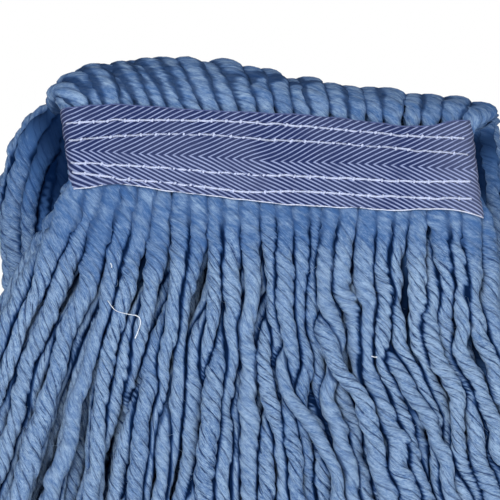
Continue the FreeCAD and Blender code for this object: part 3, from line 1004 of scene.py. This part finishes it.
def make_pressed_yarn():
    """The yarn inside the headband, which joins the front strands to the crest."""
    z = np.linspace(HALF_BAND - 7.5, -HALF_BAND + 7.5, 8)[:, None] * np.ones(STRANDS)
    path = np.stack([BAND_X - z * LEAN, FRONT_OUTER + LAYER * LAYER_STEP + 0 * z, z], -1)
    group = cord(path, np.full(z.shape, 5.5), 8, TONE, groove=0.1)
    yarn = cords_object("pressed_strands", [group], YARN_LOOK)
    attach(yarn, "yarn", "headband", "headband_yarn")


def uneven_line(height):
    """A line along the tail band that wanders a little about its height."""
    return [(x, height + 0.3 * RANDOM.standard_normal()) for x in np.linspace(-170, 170, 12)]


def make_tail_band(side, cloth, thread):
    outer_low, outer_high = box_mm("front_tail_tape_outer")
    _, inner_high = box_mm("front_tail_tape_inner")
    width = outer_high[0] - outer_low[0]
    backwards = side == "back"
    top = uneven_line(7.5)
    bottom = uneven_line(-7.5)
    rows = [uneven_line(4), uneven_line(-4)]
    outer = Tape(width, TAIL_MIDDLE, top, bottom, outer_high[1] - outer_low[1] - 4, 3.5, outer_low[1],
                 backwards=backwards)
    inner = Tape(width - 3, TAIL_MIDDLE, top, bottom, 0, 0, 2 * FOLD_Y - inner_high[1], backwards=not backwards)
    for label, tape, cell in (("outer", outer, 0.8), ("inner", inner, 1.2)):
        piece = tape_object(f"{side}_tail_band_{label}", tape, 0.7, cell, rows, 0.0, 0.12, cloth)
        attach(piece, "tail_tape", f"{side}_skirt", f"{side}_tail_tape_{label}")
    rows_outside = stitched(f"{side}_tail_seams", outer, rows, 5.75, 0.55, thread, 0.35)
    attach(rows_outside, "stitching", f"{side}_skirt", f"{side}_tail_stitches")
    rows_inside = stitched(f"{side}_tail_seams_inside", inner, rows, 5.75, 0.5, thread, 0.35, reach=width / 2 - 4)
    attach(rows_inside, "stitching", f"{side}_skirt")


def make_locks(side):
    course = loop_course(side)
    for lock in range(LOCKS):
        path, thick = loop_paths(course, lock)
        everything = np.ones(path.shape[1], bool)
        tone = TONE_SPREAD * RANDOM.standard_normal(path.shape[1])
        points, fields = cord(path, thick, 10, tone, across="y")
        # Nearness to other strands, which the yarn material paints as contact shade.
        fields["weave"][..., 1] = crowding(points, everything, path, thick / 2)
        obj = cords_object(f"{side}_lock_{lock + 1}_strands", [(points, fields)], YARN_LOOK)
        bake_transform(obj)
        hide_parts(f"{side}_loops_{lock + 1}")


def front_face(px, pz):
    """Depth of the front strands' surface at a place."""
    x, y, z, diameter = front
    row = np.argmin(np.abs(z[:, 0] - pz))
    aside = x[row] - px
    reach = diameter[row] / 2
    return np.where(np.abs(aside) < reach, y[row] - np.sqrt(np.clip(reach**2 - aside**2, 0, None)), 9).min()


def make_fuzz():
    """Loose fibres that stand out from the front strands."""
    x, y, z, diameter = front
    count, steps = 700, 7
    row = RANDOM.integers(9, 66, count)  # slices from under the band to the middle of the skirt
    strand = RANDOM.choice(np.flatnonzero(LAYER < 2), count)
    around = RANDOM.normal(0, 0.9, count)
    out = np.stack([np.sin(around), -np.cos(around), 0 * around], -1)
    start = np.stack([x[row, strand], y[row, strand], z[row, strand]], -1) + out * diameter[row, strand, None] * 0.44
    length = RANDOM.uniform(1.2, 4.0, count)
    heading = 0.4 * out + RANDOM.normal(0, 0.5, start.shape) + [0, 0, -0.4]
    heading /= np.linalg.norm(heading, axis=1, keepdims=True)
    t = np.linspace(0, 1, steps)[:, None, None]
    path = start + (heading * t + RANDOM.normal(0, 0.5, start.shape) * t**2) * length[:, None]
    path[..., 1] = np.maximum(path[..., 1], start[:, 1] - 1.0)
    thick = RANDOM.uniform(0.07, 0.14, count) * np.ones((steps, 1))
    fibres = cord(path, thick, 3, np.full(count, 0.25), plies=1, groove=0.0)
    fuzz = cords_object("front_fuzz", [fibres], YARN_LOOK)
    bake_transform(fuzz)


def lying_thread(points, thick):
    """A piece of thread that lies on the front strands and bridges the valleys between them."""
    count, window = 60, 17
    t = np.linspace(0, len(points) - 1, count)
    route = np.stack([through(t, [(i, p[k]) for i, p in enumerate(points)]) for k in (0, 1)], 1)
    surface = np.array([front_face(px, pz) for px, pz in route])
    bridged = np.minimum.reduce([np.roll(surface, k) for k in range(-5, 6)])
    bridged = np.convolve(np.pad(bridged, window // 2, "edge"), np.ones(window) / window, "valid")
    path = np.stack([route[:, 0], bridged - thick, route[:, 1]], 1)[:, None]
    return thread_cord(path, thick, 1.5)


def make_loose_threads():
    """A cut end of white thread and two bits of lint on the front strands."""
    white = thread_material("loose_white_thread", (0.80, 0.87, 0.97))
    end = [(-57.7, -54.8), (-54.6, -58.3), (-50.1, -59.5), (-46.4, -60.1), (-45.2, -62.3), (-46.1, -66.1),
           (-46.9, -68.3)]
    thread = cords_object("loose_thread", [lying_thread(end, 0.42)], white)
    bits = [[(-57.3, -41.2), (-56.9, -41.9), (-56.8, -42.8)], [(40.2, -70.5), (41.3, -70.8), (42.4, -70.7)]]
    lint = cords_object("lint", [lying_thread(bit, 0.4) for bit in bits], white)
    attach(thread, "loose_thread", "front_skirt", "loose_thread_end")
    attach(lint, "loose_thread", "front_skirt")


make_headband()
make_pressed_yarn()
tail_cloth = plain_weave_material("tail_band_cloth", (0.030, 0.070, 0.190), (0.130, 0.220, 0.440))
tail_thread = thread_material("tail_band_thread", (0.50, 0.56, 0.78))
for skirt in ("front", "back"):
    make_tail_band(skirt, tail_cloth, tail_thread)
    make_locks(skirt)
make_fuzz()
make_loose_threads()
setting()
